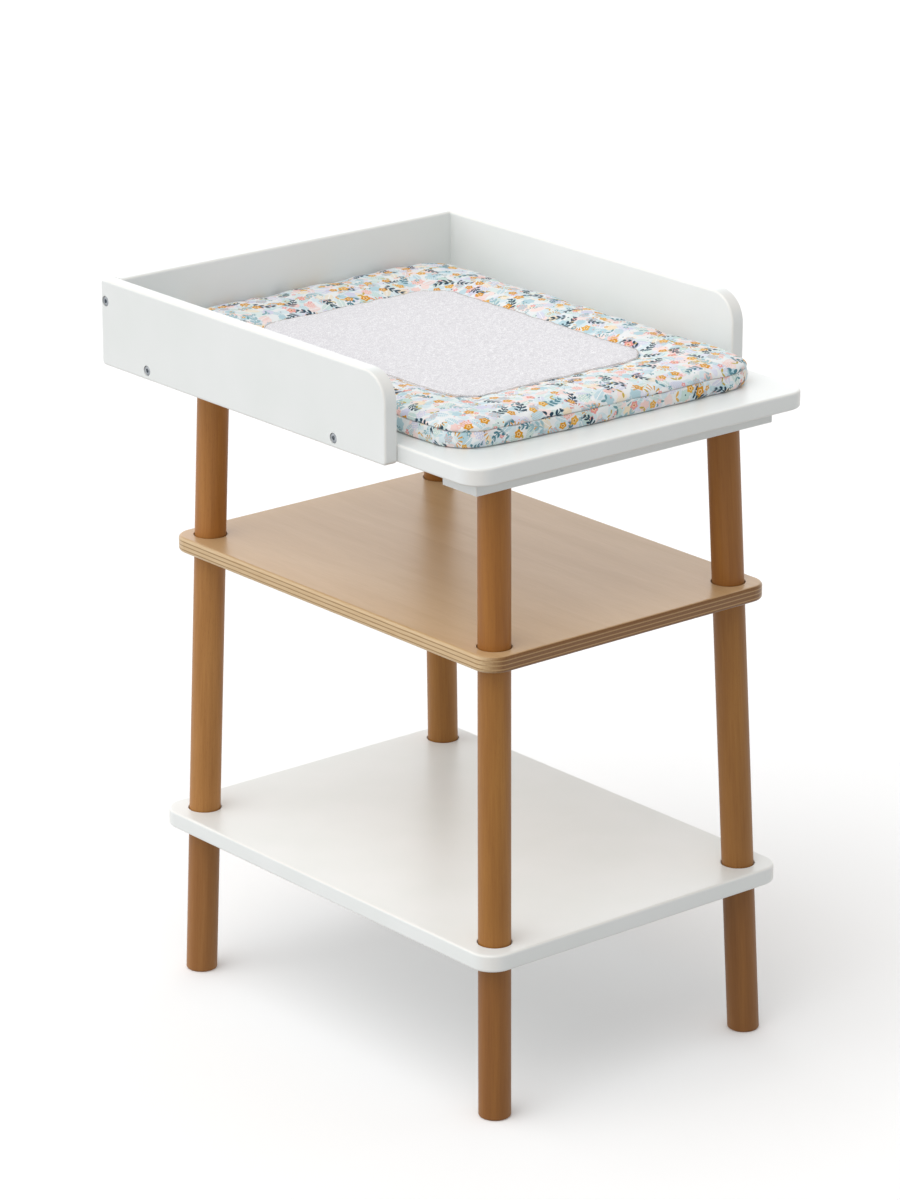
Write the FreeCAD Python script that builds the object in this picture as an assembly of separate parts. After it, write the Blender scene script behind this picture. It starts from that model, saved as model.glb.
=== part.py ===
import FreeCAD, Part
import math
import os

# Changing table: a lacquered top board with three guard panels, on four splayed round legs
# that carry a plywood middle shelf and a lacquered lower shelf, and a loose padded mat.
# Millimetres. +X runs along the open front edge, +Y from the open front to the rear panel,
# +Z up. The origin is on the floor, under the middle of the table.

V = FreeCAD.Vector
UP = V(0, 0, 1)
ACROSS = V(1, 0, 0)
BACK = V(0, 1, 0)

# ---- overall sizes
WIDTH = 567.0
DEPTH = 700.0
HEIGHT = 920.0
FRONT = -DEPTH / 2
REAR = DEPTH / 2

# ---- boards
PANEL_THICK = 19.0
TOP_THICK = 22.0
TOP_SURFACE = 833.0
TOP_UNDERSIDE = TOP_SURFACE - TOP_THICK
TOP_HALF_WIDTH = WIDTH / 2 - PANEL_THICK
TOP_CORNER_R = 30.0
BOARD_EDGE_R = 3.0
SIDE_PANEL_FRONT = -210.0
SIDE_PANEL_FOOT = TOP_UNDERSIDE - 1.0
SIDE_PANEL_CORNER_R = 38.0
SMALL_CORNER_R = 5.0
REAR_PANEL_FRONT = REAR - PANEL_THICK

# ---- battens under the top board
BATTEN_HALF_LENGTH = 234.0
BATTEN_WIDTH = 62.0
BATTEN_THICK = 22.0
BATTEN_UNDERSIDE = TOP_UNDERSIDE - BATTEN_THICK
BATTEN_EDGE_R = 1.5

# ---- shelves: half width, front edge, rear edge, top face, thickness, corner and edge radii
MIDDLE_SHELF = dict(half=225.0, front=-331.0, rear=295.0, top=590.0, thick=20.0, corner=28.0, edge=4.0)
LOWER_SHELF = dict(half=240.0, front=-348.0, rear=308.0, top=222.0, thick=22.0, corner=30.0, edge=3.0)

# ---- legs: each leg's axis runs straight from the batten to the floor
LEG_DIA = 40.0
LEG_HEAD_X = 181.0
LEG_FOOT_X = 205.0
FRONT_HEAD_Y = -285.0
FRONT_FOOT_Y = -318.0
REAR_HEAD_Y = 257.0
REAR_FOOT_Y = 271.0
FOOT_EDGE_R = 3.0
SOCKET_DIA = LEG_DIA + 3.2
SOCKET_DEPTH = 4.0

# ---- leg hardware
STUD_DIA = 8.0
STUD_WOOD_LENGTH = 32.0
STUD_METAL_LENGTH = 26.0
STUD_CLEARANCE_DIA = 9.0
INSERT_DIA = 12.0
INSERT_LENGTH = 20.0
LEG_BORE_DEPTH = 34.0
LEG_BOLT_HEAD_DIA = 17.0
LEG_BOLT_HEAD_THICK = 3.0
LEG_BOLT_RECESS_DIA = 18.0
LEG_BOLT_RECESS_DEPTH = 4.5
LEG_BOLT_LENGTH = 46.0
LEG_BOLT_SOCKET_FLOOR = 0.8

# ---- panel hardware
BOLT_DIA = 6.0
BOLT_HOLE_DIA = 6.8
BOLT_HEAD_DIA = 12.0
BOLT_HEAD_THICK = 3.0
BOLT_RECESS_DIA = 13.2
BOLT_RECESS_DEPTH = 3.6
BOLT_SOCKET_FLATS = 5.0
BOLT_SOCKET_DEPTH = 2.4
BOLT_HEAD_EDGE_R = 0.8
BOLT_REACH = 34.0
BOLT_PAST_NUT = 7.0
BARREL_DIA = 10.0
BARREL_LENGTH = 14.0
BARREL_SKIN = 4.0
BARREL_X = TOP_HALF_WIDTH - BOLT_REACH
BOLT_HOLE_SPARE = 2.0
PANEL_BOLT_Z = TOP_SURFACE - TOP_THICK / 2
PANEL_BOLT_YS = (-113.0, 256.0)
REAR_BOLT_Y = REAR - PANEL_THICK / 2
REAR_BOLT_Z = 893.0
DOWEL_DIA = 8.0
DOWEL_HALF_LENGTH = 16.0
DOWEL_XS = (-180.0, 0.0, 180.0)
SCREW_DIA = 4.5
SCREW_HEAD_DIA = 9.0
SCREW_HEAD_DEPTH = 2.6
SCREW_LENGTH = 36.0
SCREW_CROSS_HALF_LENGTH = 2.7
SCREW_CROSS_HALF_WIDTH = 0.5
SCREW_CROSS_DEPTH = 1.5
SCREW_XS = (-110.0, 0.0, 110.0)

# ---- mat
MAT_HALF_WIDTH = 235.0
MAT_FRONT = -300.0
MAT_REAR = 328.0
MAT_THICK = 30.0
MAT_CORNER_R = 50.0
MAT_TOP_EDGE_R = 9.0
MAT_BOTTOM_EDGE_R = 6.0
MAT_SEAM = TOP_SURFACE + 21.0
COVER_THICK = 1.2
TOWEL_HALF_WIDTH = 152.0
TOWEL_HALF_LENGTH = 207.0
TOWEL_CORNER_R = 46.0
TOWEL_THICK = 1.2
TOWEL_EDGE_R = 0.5

# ---- modelling allowances: how close counts as equal, and how far a cutting tool overshoots
TINY = 1e-6
OVER = 1.0


# ---------------------------------------------------------------- helpers
def box(x0, x1, y0, y1, z0, z1):
    return Part.makeBox(x1 - x0, y1 - y0, z1 - z0, V(x0, y0, z0))


def group(solids):
    return Part.makeCompound(solids)


def cut_all(shape, tools):
    return shape.cut(group(tools))


def edges_along(shape, axis):
    """Straight edges that run along the given axis."""
    found = []
    for edge in shape.Edges:
        run = edge.Vertexes[-1].Point - edge.Vertexes[0].Point
        if run.Length > 0 and abs(abs(run.normalize().dot(axis)) - 1) < TINY:
            found.append(edge)
    return found


def edges_on_plane(shape, axis, level):
    """Edges that lie wholly in the plane at this level along the axis."""
    found = []
    for edge in shape.Edges:
        heights = [point.dot(axis) for point in edge.discretize(5)]
        if max(abs(height - level) for height in heights) < TINY:
            found.append(edge)
    return found


def corner_edge(shape, y, z):
    """The straight edge along X that passes through this y and z."""
    for edge in edges_along(shape, ACROSS):
        point = edge.Vertexes[0].Point
        if abs(point.y - y) < TINY and abs(point.z - z) < TINY:
            return edge
    raise ValueError("no edge there")


def corner_uprights(board, x0, x1, y):
    """The two vertical edges of a board at its corners on this front or rear line."""
    found = []
    for edge in edges_along(board, UP):
        point = edge.Vertexes[0].Point
        if abs(point.y - y) < TINY and min(abs(point.x - x0), abs(point.x - x1)) < TINY:
            found.append(edge)
    return found


def flat_board(x0, x1, y0, y1, z0, z1, front_r, rear_r, top_edge_r, bottom_edge_r):
    """A horizontal board with rounded plan corners and softened top and bottom edges."""
    board = box(x0, x1, y0, y1, z0, z1)
    board = board.makeFillet(front_r, corner_uprights(board, x0, x1, y0))
    board = board.makeFillet(rear_r, corner_uprights(board, x0, x1, y1))
    board = board.makeFillet(top_edge_r, edges_on_plane(board, UP, z1))
    return board.makeFillet(bottom_edge_r, edges_on_plane(board, UP, z0))


def leg_point(side, front, z):
    """Where a leg's axis is at height z. side is -1 or 1, front is True for the open side."""
    drop = 1 - z / BATTEN_UNDERSIDE
    head_y = FRONT_HEAD_Y if front else REAR_HEAD_Y
    foot_y = FRONT_FOOT_Y if front else REAR_FOOT_Y
    x = LEG_HEAD_X + (LEG_FOOT_X - LEG_HEAD_X) * drop
    return V(side * x, head_y + (foot_y - head_y) * drop, z)


def leg_direction(side, front):
    return (leg_point(side, front, BATTEN_UNDERSIDE) - leg_point(side, front, 0)).normalize()


def along_leg(side, front, z, dia, below, above):
    """A round bar on the leg's axis, reaching below and above height z."""
    direction = leg_direction(side, front)
    start = leg_point(side, front, z) - direction * below
    return Part.makeCylinder(dia / 2, below + above, start, direction)


def slab(z0, z1):
    return box(-WIDTH, WIDTH, -DEPTH, DEPTH, z0, z1)


LEGS = {
    "front_left": (-1, True),
    "front_right": (1, True),
    "rear_left": (-1, False),
    "rear_right": (1, False),
}


# ---------------------------------------------------------------- leg pieces
def leg_piece(side, front, z0, z1, insert_on_top, stud_at_bottom, foot=False):
    """One turned length of a leg, with flat ends, bored for its hardware."""
    blank = along_leg(side, front, z0, LEG_DIA, LEG_DIA, z1 - z0 + 2 * LEG_DIA)
    piece = blank.common(slab(z0, z1))
    if foot:
        piece = piece.makeFillet(FOOT_EDGE_R, edges_on_plane(piece, UP, z0))
    bores = []
    if insert_on_top:
        bores.append(along_leg(side, front, z1, INSERT_DIA, INSERT_LENGTH, LEG_DIA))
        bores.append(along_leg(side, front, z1, STUD_CLEARANCE_DIA, LEG_BORE_DEPTH, LEG_DIA))
    if stud_at_bottom:
        bores.append(along_leg(side, front, z0, STUD_DIA, LEG_DIA, STUD_WOOD_LENGTH))
    return cut_all(piece, bores) if bores else piece


def threaded_insert(side, front, z):
    """A steel sleeve set flush in the top end of a leg piece, threaded for an M8 stud."""
    sleeve = along_leg(side, front, z, INSERT_DIA, INSERT_LENGTH, LEG_DIA)
    bore = along_leg(side, front, z, STUD_DIA, INSERT_LENGTH + OVER, LEG_DIA)
    return sleeve.cut(bore).common(slab(0, z))


def shelf_stud(side, front, shelf):
    """A double-ended stud: wood thread up into one leg piece, M8 down into the insert below."""
    upper_end = shelf["top"] - SOCKET_DEPTH
    lower_end = shelf["top"] - shelf["thick"] + SOCKET_DEPTH
    direction = leg_direction(side, front)
    start = leg_point(side, front, lower_end) - direction * STUD_METAL_LENGTH
    length = STUD_METAL_LENGTH + (upper_end - lower_end) / direction.z + STUD_WOOD_LENGTH
    stud = Part.makeCylinder(STUD_DIA / 2, length - STUD_DIA, start, direction)
    tip_start = start + direction * (length - STUD_DIA)
    tip = Part.makeCone(STUD_DIA / 2, STUD_DIA / 5, STUD_DIA, tip_start, direction)
    return stud.fuse(tip)


def leg_head_bolt(side, front):
    """A flat-headed M8 bolt let into the batten's upper face, down into the leg's insert."""
    direction = leg_direction(side, front)
    head_top = TOP_UNDERSIDE - LEG_BOLT_RECESS_DEPTH + LEG_BOLT_HEAD_THICK
    seat = leg_point(side, front, TOP_UNDERSIDE - LEG_BOLT_RECESS_DEPTH)
    head = Part.makeCylinder(LEG_BOLT_HEAD_DIA / 2, head_top - seat.z, seat, UP)
    shank = Part.makeCylinder(STUD_DIA / 2, LEG_BOLT_LENGTH, seat, direction * -1)
    bolt = head.fuse(shank)
    socket = hex_prism(seat + UP * LEG_BOLT_SOCKET_FLOOR, UP, BOLT_SOCKET_FLATS, LEG_BOLT_HEAD_THICK)
    return bolt.cut(socket)


def hex_prism(start, direction, across_flats, length):
    radius = across_flats / math.sqrt(3)
    side_a = direction.cross(BACK).normalize()
    side_b = direction.cross(side_a)
    corners = []
    for step in range(7):
        turn = math.radians(60 * step)
        corners.append(start + side_a * (radius * math.cos(turn)) + side_b * (radius * math.sin(turn)))
    face = Part.Face(Part.makePolygon(corners))
    return face.extrude(direction * length)


# ---------------------------------------------------------------- boards
def leg_recesses(shelf):
    """Round sockets in both faces of a shelf, and the stud's hole between them."""
    top = shelf["top"]
    bottom = top - shelf["thick"]
    tools = []
    for side, front in LEGS.values():
        upper = leg_point(side, front, top)
        lower = leg_point(side, front, bottom)
        tools.append(Part.makeCylinder(SOCKET_DIA / 2, SOCKET_DEPTH + OVER, upper - UP * SOCKET_DEPTH, UP))
        tools.append(Part.makeCylinder(SOCKET_DIA / 2, SOCKET_DEPTH + OVER, lower - UP * OVER, UP))
        tools.append(along_leg(side, front, bottom, STUD_CLEARANCE_DIA, OVER, shelf["thick"] + 2 * OVER))
    return tools


def shelf_board(shelf):
    top = shelf["top"]
    board = flat_board(-shelf["half"], shelf["half"], shelf["front"], shelf["rear"],
                       top - shelf["thick"], top,
                       shelf["corner"], shelf["corner"], shelf["edge"], shelf["edge"])
    return cut_all(board, leg_recesses(shelf))


def batten(front):
    middle = FRONT_HEAD_Y if front else REAR_HEAD_Y
    y0 = middle - BATTEN_WIDTH / 2
    y1 = middle + BATTEN_WIDTH / 2
    bar = flat_board(-BATTEN_HALF_LENGTH, BATTEN_HALF_LENGTH, y0, y1, BATTEN_UNDERSIDE, TOP_UNDERSIDE,
                     BATTEN_EDGE_R, BATTEN_EDGE_R, BATTEN_EDGE_R / 2, BATTEN_EDGE_R / 2)
    tools = []
    for side in (-1, 1):
        seat = leg_point(side, front, TOP_UNDERSIDE - LEG_BOLT_RECESS_DEPTH)
        tools.append(Part.makeCylinder(LEG_BOLT_RECESS_DIA / 2, LEG_BOLT_RECESS_DEPTH + OVER, seat, UP))
        tools.append(along_leg(side, front, BATTEN_UNDERSIDE, STUD_CLEARANCE_DIA, 2 * OVER, BATTEN_THICK))
    for x in SCREW_XS:
        tools.append(batten_screw(x, middle))
    return cut_all(bar, tools)


def batten_screw(x, y):
    """A countersunk screw driven up through a batten into the top board."""
    head = Part.makeCone(SCREW_HEAD_DIA / 2, SCREW_DIA / 2, SCREW_HEAD_DEPTH, V(x, y, BATTEN_UNDERSIDE), UP)
    shank = Part.makeCylinder(SCREW_DIA / 2, SCREW_LENGTH - SCREW_HEAD_DEPTH - SCREW_DIA,
                              V(x, y, BATTEN_UNDERSIDE + SCREW_HEAD_DEPTH), UP)
    tip = Part.makeCone(SCREW_DIA / 2, SCREW_DIA / 10, SCREW_DIA,
                        V(x, y, BATTEN_UNDERSIDE + SCREW_LENGTH - SCREW_DIA), UP)
    return head.fuse(shank).fuse(tip)


def slotted_screw(x, y):
    """The batten screw with a cross recess in its head."""
    screw = batten_screw(x, y)
    arm = SCREW_CROSS_HALF_LENGTH
    slot = SCREW_CROSS_HALF_WIDTH
    z0 = BATTEN_UNDERSIDE - OVER
    z1 = BATTEN_UNDERSIDE + SCREW_CROSS_DEPTH
    along = box(x - arm, x + arm, y - slot, y + slot, z0, z1)
    across = box(x - slot, x + slot, y - arm, y + arm, z0, z1)
    return cut_all(screw, [along, across])


def bolt_hole_in_edge(side, y, z):
    """The long hole in a board's side edge that a panel bolt runs into."""
    mouth = V(side * (TOP_HALF_WIDTH + OVER), y, z)
    reach = OVER + BOLT_REACH + BOLT_PAST_NUT + BOLT_HOLE_SPARE
    return Part.makeCylinder(BOLT_HOLE_DIA / 2, reach, mouth, V(-side, 0, 0))


def dowel(x):
    """A wooden dowel, half in the top board and half in the rear panel above it."""
    foot = V(x, REAR_BOLT_Y, TOP_SURFACE - DOWEL_HALF_LENGTH)
    return Part.makeCylinder(DOWEL_DIA / 2, 2 * DOWEL_HALF_LENGTH, foot, UP)


def top_board():
    board = flat_board(-TOP_HALF_WIDTH, TOP_HALF_WIDTH, FRONT, REAR, TOP_UNDERSIDE, TOP_SURFACE,
                       TOP_CORNER_R, SMALL_CORNER_R, BOARD_EDGE_R, BOARD_EDGE_R)
    tools = []
    for side in (-1, 1):
        for y in PANEL_BOLT_YS:
            tools.append(bolt_hole_in_edge(side, y, PANEL_BOLT_Z))
            mouth = V(side * BARREL_X, y, TOP_UNDERSIDE - OVER)
            tools.append(Part.makeCylinder(BARREL_DIA / 2, TOP_THICK - BARREL_SKIN + OVER, mouth, UP))
    for x in DOWEL_XS:
        tools.append(dowel(x))
    for y in (FRONT_HEAD_Y, REAR_HEAD_Y):
        for x in SCREW_XS:
            tools.append(batten_screw(x, y))
    return cut_all(board, tools)


def bolt_places():
    """Heights and depths of the three bolts that hold each side panel."""
    places = [(y, PANEL_BOLT_Z) for y in PANEL_BOLT_YS]
    return places + [(REAR_BOLT_Y, REAR_BOLT_Z)]


def side_panel(side):
    outer = side * WIDTH / 2
    inner = side * TOP_HALF_WIDTH
    x0 = min(outer, inner)
    x1 = max(outer, inner)
    panel = box(x0, x1, SIDE_PANEL_FRONT, REAR, SIDE_PANEL_FOOT, HEIGHT)
    panel = panel.makeFillet(SIDE_PANEL_CORNER_R, [corner_edge(panel, SIDE_PANEL_FRONT, HEIGHT)])
    for y, z in ((SIDE_PANEL_FRONT, SIDE_PANEL_FOOT), (REAR, SIDE_PANEL_FOOT), (REAR, HEIGHT)):
        panel = panel.makeFillet(SMALL_CORNER_R, [corner_edge(panel, y, z)])
    for level in (x0, x1):
        panel = panel.makeFillet(BOARD_EDGE_R, edges_on_plane(panel, ACROSS, level))
    inward = V(-side, 0, 0)
    tools = []
    for y, z in bolt_places():
        mouth = V(outer + side * OVER, y, z)
        tools.append(Part.makeCylinder(BOLT_RECESS_DIA / 2, BOLT_RECESS_DEPTH + OVER, mouth, inward))
        tools.append(Part.makeCylinder(BOLT_HOLE_DIA / 2, PANEL_THICK + 2 * OVER, mouth, inward))
    return cut_all(panel, tools)


def rear_panel():
    panel = box(-TOP_HALF_WIDTH, TOP_HALF_WIDTH, REAR_PANEL_FRONT, REAR, TOP_SURFACE, HEIGHT)
    ridges = [corner_edge(panel, REAR_PANEL_FRONT, HEIGHT), corner_edge(panel, REAR, HEIGHT)]
    panel = panel.makeFillet(BOARD_EDGE_R, ridges)
    tools = []
    for side in (-1, 1):
        tools.append(bolt_hole_in_edge(side, REAR_BOLT_Y, REAR_BOLT_Z))
        mouth = V(side * BARREL_X, REAR + OVER, REAR_BOLT_Z)
        depth = (PANEL_THICK + BARREL_LENGTH) / 2
        tools.append(Part.makeCylinder(BARREL_DIA / 2, depth + OVER, mouth, BACK * -1))
    for x in DOWEL_XS:
        tools.append(dowel(x))
    return cut_all(panel, tools)


# ---------------------------------------------------------------- panel hardware
def panel_bolt(side, y, z):
    """A socket-headed M6 bolt: head in the panel's recess, end past the barrel nut."""
    outer = side * WIDTH / 2
    inward = V(-side, 0, 0)
    seat = V(outer, y, z) + inward * BOLT_RECESS_DEPTH
    head = Part.makeCylinder(BOLT_HEAD_DIA / 2, BOLT_HEAD_THICK, seat, inward * -1)
    face_x = seat.x + side * BOLT_HEAD_THICK
    head = head.makeFillet(BOLT_HEAD_EDGE_R, edges_on_plane(head, ACROSS, face_x))
    length = PANEL_THICK - BOLT_RECESS_DEPTH + BOLT_REACH + BOLT_PAST_NUT
    shank = Part.makeCylinder(BOLT_DIA / 2, length, seat, inward)
    socket_floor = seat + inward * -(BOLT_HEAD_THICK - BOLT_SOCKET_DEPTH)
    socket = hex_prism(socket_floor, inward * -1, BOLT_SOCKET_FLATS, BOLT_SOCKET_DEPTH + OVER)
    return head.fuse(shank).cut(socket)


def barrel_nut(centre, axis, side):
    """A steel barrel lying across the bolt, with the bolt's threaded hole through its middle."""
    body = Part.makeCylinder(BARREL_DIA / 2, BARREL_LENGTH, centre - axis * (BARREL_LENGTH / 2), axis)
    mouth = centre + V(side * BARREL_DIA, 0, 0)
    hole = Part.makeCylinder(BOLT_DIA / 2, 2 * BARREL_DIA, mouth, V(-side, 0, 0))
    return body.cut(hole)


# ---------------------------------------------------------------- mat
def mat_block(inset, z0, z1):
    """The mat's outline shrunk by inset, with softened edges."""
    return flat_board(-MAT_HALF_WIDTH + inset, MAT_HALF_WIDTH - inset, MAT_FRONT + inset, MAT_REAR - inset,
                      z0 + inset, z1 - inset, MAT_CORNER_R - inset, MAT_CORNER_R - inset,
                      MAT_TOP_EDGE_R - inset, MAT_BOTTOM_EDGE_R - inset)


def mat_parts():
    top = TOP_SURFACE + MAT_THICK
    outside = mat_block(0, TOP_SURFACE, top)
    hollow = outside.cut(mat_block(COVER_THICK, TOP_SURFACE, top))
    centre_y = (MAT_FRONT + MAT_REAR) / 2
    towel = flat_board(-TOWEL_HALF_WIDTH, TOWEL_HALF_WIDTH, centre_y - TOWEL_HALF_LENGTH,
                       centre_y + TOWEL_HALF_LENGTH, top, top + TOWEL_THICK,
                       TOWEL_CORNER_R, TOWEL_CORNER_R, TOWEL_EDGE_R, TOWEL_EDGE_R)
    return {
        "mat_cover_top": hollow.common(slab(MAT_SEAM, HEIGHT)),
        "mat_cover_base": hollow.common(slab(0, MAT_SEAM)),
        "mat_foam_core": mat_block(COVER_THICK, TOP_SURFACE, top),
        "mat_towel_panel": towel,
    }


# ---------------------------------------------------------------- assembly
def build():
    nodes = {
        "top_board": top_board(),
        "side_panel_left": side_panel(-1),
        "side_panel_right": side_panel(1),
        "rear_panel": rear_panel(),
        "batten_front": batten(True),
        "batten_rear": batten(False),
        "shelf_middle": shelf_board(MIDDLE_SHELF),
        "shelf_lower": shelf_board(LOWER_SHELF),
    }
    middle_top = MIDDLE_SHELF["top"] - SOCKET_DEPTH
    middle_bottom = MIDDLE_SHELF["top"] - MIDDLE_SHELF["thick"] + SOCKET_DEPTH
    lower_top = LOWER_SHELF["top"] - SOCKET_DEPTH
    lower_bottom = LOWER_SHELF["top"] - LOWER_SHELF["thick"] + SOCKET_DEPTH
    for name, (side, front) in LEGS.items():
        nodes["leg_upper_" + name] = leg_piece(side, front, middle_top, BATTEN_UNDERSIDE, True, True)
        nodes["leg_middle_" + name] = leg_piece(side, front, lower_top, middle_bottom, True, True)
        nodes["leg_foot_" + name] = leg_piece(side, front, 0, lower_bottom, True, False, foot=True)

    corners = list(LEGS.values())
    insert_levels = {"upper": BATTEN_UNDERSIDE, "middle": middle_bottom, "foot": lower_bottom}
    for level, z in insert_levels.items():
        inserts = [threaded_insert(side, front, z) for side, front in corners]
        nodes["threaded_inserts_leg_" + level] = group(inserts)
    nodes["shelf_studs_middle"] = group([shelf_stud(side, front, MIDDLE_SHELF) for side, front in corners])
    nodes["shelf_studs_lower"] = group([shelf_stud(side, front, LOWER_SHELF) for side, front in corners])
    nodes["leg_head_bolts"] = group([leg_head_bolt(side, front) for side, front in corners])

    nodes["panel_bolts_left"] = group([panel_bolt(-1, y, z) for y, z in bolt_places()])
    nodes["panel_bolts_right"] = group([panel_bolt(1, y, z) for y, z in bolt_places()])
    board_nuts = []
    rear_nuts = []
    for side in (-1, 1):
        for y in PANEL_BOLT_YS:
            board_nuts.append(barrel_nut(V(side * BARREL_X, y, PANEL_BOLT_Z), UP, side))
        rear_nuts.append(barrel_nut(V(side * BARREL_X, REAR_BOLT_Y, REAR_BOLT_Z), BACK, side))
    nodes["barrel_nuts_top_board"] = group(board_nuts)
    nodes["barrel_nuts_rear_panel"] = group(rear_nuts)
    nodes["rear_panel_dowels"] = group([dowel(x) for x in DOWEL_XS])
    screws = []
    for y in (FRONT_HEAD_Y, REAR_HEAD_Y):
        for x in SCREW_XS:
            screws.append(slotted_screw(x, y))
    nodes["batten_screws"] = group(screws)
    nodes.update(mat_parts())
    return nodes


os.makedirs("parts", exist_ok=True)
for node, shape in build().items():
    if not shape.isValid():
        raise ValueError(node + " is not a valid shape")
    shape.exportStep("parts/" + node + ".step")
    print("%-30s solids %2d  volume %9.1f cm3" % (node, len(shape.Solids), shape.Volume / 1000))
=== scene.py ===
# %% [markdown]
# # A changing table in white lacquer, beech and printed cotton
#
# The real object is a small stand for changing a baby on. A white lacquered top with a low
# gallery round three sides, a beech plywood shelf and a white lower shelf are stacked on
# twelve turned leg pieces of stained beech, and a padded mat lies inside the gallery.
#
# The boards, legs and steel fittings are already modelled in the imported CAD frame, so they
# keep their shape and only get their finishes here. The mat is soft, so it is made here by
# mesh work and a short cloth simulation, in the space that the CAD keeps for it.

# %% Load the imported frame
import math
import random

import bmesh
import bpy
from mathutils import Matrix, Vector, noise
from mathutils.bvhtree import BVHTree


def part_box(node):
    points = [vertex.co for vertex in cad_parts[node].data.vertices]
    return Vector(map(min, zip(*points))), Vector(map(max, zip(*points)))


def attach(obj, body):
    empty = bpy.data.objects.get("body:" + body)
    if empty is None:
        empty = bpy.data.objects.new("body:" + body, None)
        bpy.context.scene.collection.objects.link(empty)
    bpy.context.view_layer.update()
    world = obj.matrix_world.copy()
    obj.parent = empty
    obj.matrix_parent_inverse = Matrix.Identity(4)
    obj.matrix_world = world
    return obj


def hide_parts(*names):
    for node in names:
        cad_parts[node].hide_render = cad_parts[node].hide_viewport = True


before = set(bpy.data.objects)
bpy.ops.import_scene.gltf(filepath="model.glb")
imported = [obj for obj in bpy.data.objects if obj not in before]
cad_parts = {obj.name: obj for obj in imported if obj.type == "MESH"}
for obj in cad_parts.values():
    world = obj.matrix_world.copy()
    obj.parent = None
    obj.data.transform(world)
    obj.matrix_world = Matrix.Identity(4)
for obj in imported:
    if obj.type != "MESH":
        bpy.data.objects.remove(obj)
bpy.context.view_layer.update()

MM = 0.001
scene = bpy.context.scene

# %% [markdown]
# ## Helpers for shader nodes
#
# Every finish below is a network of shader nodes. Written out in full, each node takes four
# or five lines, so one small function adds a node, sets its properties, and fills its sockets
# with numbers or with links from earlier nodes. Math nodes need only their operation, so that
# may be given as plain text, and the two ends of a range are given as one pair. Colours are
# chosen as sRGB hex codes, which is how a screen shows them, and one function turns them into
# the linear light that shaders add.

# %% Colours and sockets
def colour(code):
    """An sRGB hex code as the linear RGBA of a shader socket."""
    parts = [int(code[start:start + 2], 16) / 255 for start in (1, 3, 5)]
    linear = [p / 12.92 if p <= 0.04045 else ((p + 0.055) / 1.055) ** 2.4 for p in parts]
    return (*linear, 1.0)


def fill(tree, node, sockets):
    """Sets a node's sockets, named or numbered, to values or links; From and To take a pair."""
    for end in ("From", "To"):
        if end in sockets:
            low, high = sockets.pop(end)
            sockets.update({end + " Min": low, end + " Max": high})
    for name, value in sockets.items():
        named = [s for s in node.inputs if s.enabled and s.name == name]
        socket = node.inputs[name] if isinstance(name, int) else named[0]
        if isinstance(value, bpy.types.Node):
            value = next(s for s in value.outputs if s.enabled)
        if isinstance(value, bpy.types.NodeSocket):
            tree.links.new(value, socket)
        else:
            socket.default_value = colour(value) if isinstance(value, str) else value


print("mid grey in linear light:", [round(c, 3) for c in colour("#808080")])

# %% Nodes and new finishes
BLEND = {"data_type": "RGBA"}
TINT = {"data_type": "RGBA", "blend_type": "MULTIPLY"}


def add(tree, kind, settings=None, sockets=None, stops=()):
    """Adds one node with its settings or its operation, its links, and a ramp's stops."""
    node = tree.nodes.new("ShaderNode" + kind)
    if isinstance(settings, str):
        settings = {"operation": settings}
    for name, value in (settings or {}).items():
        setattr(node, name, value)
    fill(tree, node, sockets or {})
    for number, (place, code) in enumerate(stops):
        ramp = node.color_ramp.elements
        stop = ramp[number] if number < 2 else ramp.new(place)
        stop.position = place
        stop.color = colour(code)
    return node


def start_finish(name):
    """A new material that holds only a Principled shader and its output."""
    made = bpy.data.materials.new(name)
    made.use_nodes = True
    tree = made.node_tree
    tree.nodes.clear()
    shader = add(tree, "BsdfPrincipled")
    add(tree, "OutputMaterial", {}, {"Surface": shader})
    return made, tree, shader


print("settings of a mix:", BLEND, "and of a tint:", TINT)

# %% [markdown]
# ## Camera, floor and studio light
#
# The table is seen from its open front, a little from the left and from above, with a long
# lens that keeps its uprights nearly parallel. The floor is a very large pale disc, so that
# its edge never shows. One broad, soft light comes from above on the left; a sun lamp with a wide
# angle does this better than an area light, because it doesn't fall off across the floor.
# The rest comes from the studio's walls. They are brightest behind the table, where lit paper
# hangs, so that the shelves catch a satin reflection, and dimmer on the side of the viewer.
# White paper right under the table would throw back so much light that the undersides and
# front edges would look washed out, so the floor is left out of the light that bounces, and
# the world's lower half stands in for it with a softer strength.

# %% Camera
AZIMUTH = math.radians(-39.71)
ELEVATION = math.radians(18.89)
DISTANCE = 5.990
LENS = 143.96
AIM_HEIGHT = 0.5283
AIM_SIDE = -0.0062
AIM_BACK = 0.0038

back = Vector((math.sin(AZIMUTH) * math.cos(ELEVATION),
               -math.cos(AZIMUTH) * math.cos(ELEVATION),
               math.sin(ELEVATION)))
right = Vector((math.cos(AZIMUTH), math.sin(AZIMUTH), 0))
aim = Vector((0, AIM_BACK, AIM_HEIGHT)) + right * AIM_SIDE
camera = bpy.data.objects.new("camera", bpy.data.cameras.new("camera"))
camera.data.lens = LENS
camera.location = aim + back * DISTANCE
camera.rotation_mode = "QUATERNION"
camera.rotation_quaternion = (-back).to_track_quat("-Z", "Y")
scene.collection.objects.link(camera)
scene.camera = camera
print("camera at", [round(c, 3) for c in camera.location])

# %% Floor
FLOOR_RADIUS = 60.0


def make_piece(shape, name, material):
    """Makes a finished bmesh an object of the scene, in its material."""
    made = bpy.data.objects.new(name, bpy.data.meshes.new(name))
    shape.to_mesh(made.data)
    shape.free()
    made.data.materials.append(material)
    scene.collection.objects.link(made)
    return made


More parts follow.
